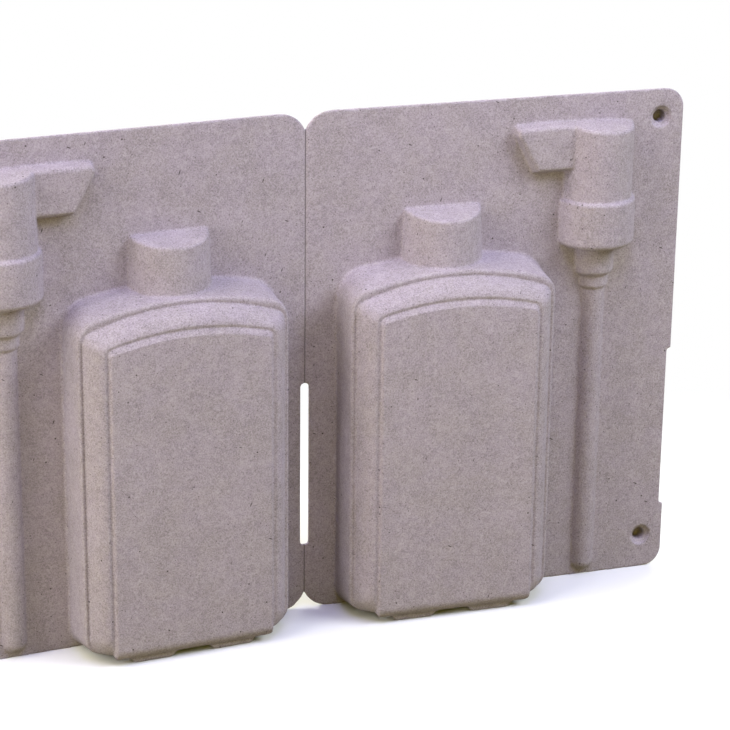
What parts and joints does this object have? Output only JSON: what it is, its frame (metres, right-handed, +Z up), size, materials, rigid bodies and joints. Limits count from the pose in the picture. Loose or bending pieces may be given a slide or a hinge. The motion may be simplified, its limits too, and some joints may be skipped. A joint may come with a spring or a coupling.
{
  "type": "pulp bottle shipper insert",
  "caption": "Moulded pulp shipping insert, folded open flat, with mirrored half pockets for a pump bottle and its pump, snap pegs and a slotted fold.",
  "frame": {"origin": "centre of the bounding box's bottom face, on the level the insert stands on", "axes": "+X across both halves, +Y to the hollow side, +Z up along the fold"},
  "size_m": [0.3728, 0.0376, 0.245],
  "materials": {
    "pulp": "matt, fine-grained moulded fibre"
  },
  "bodies": {
    "root": {"pulp_insert": "pulp"}
  },
  "joints": []
}
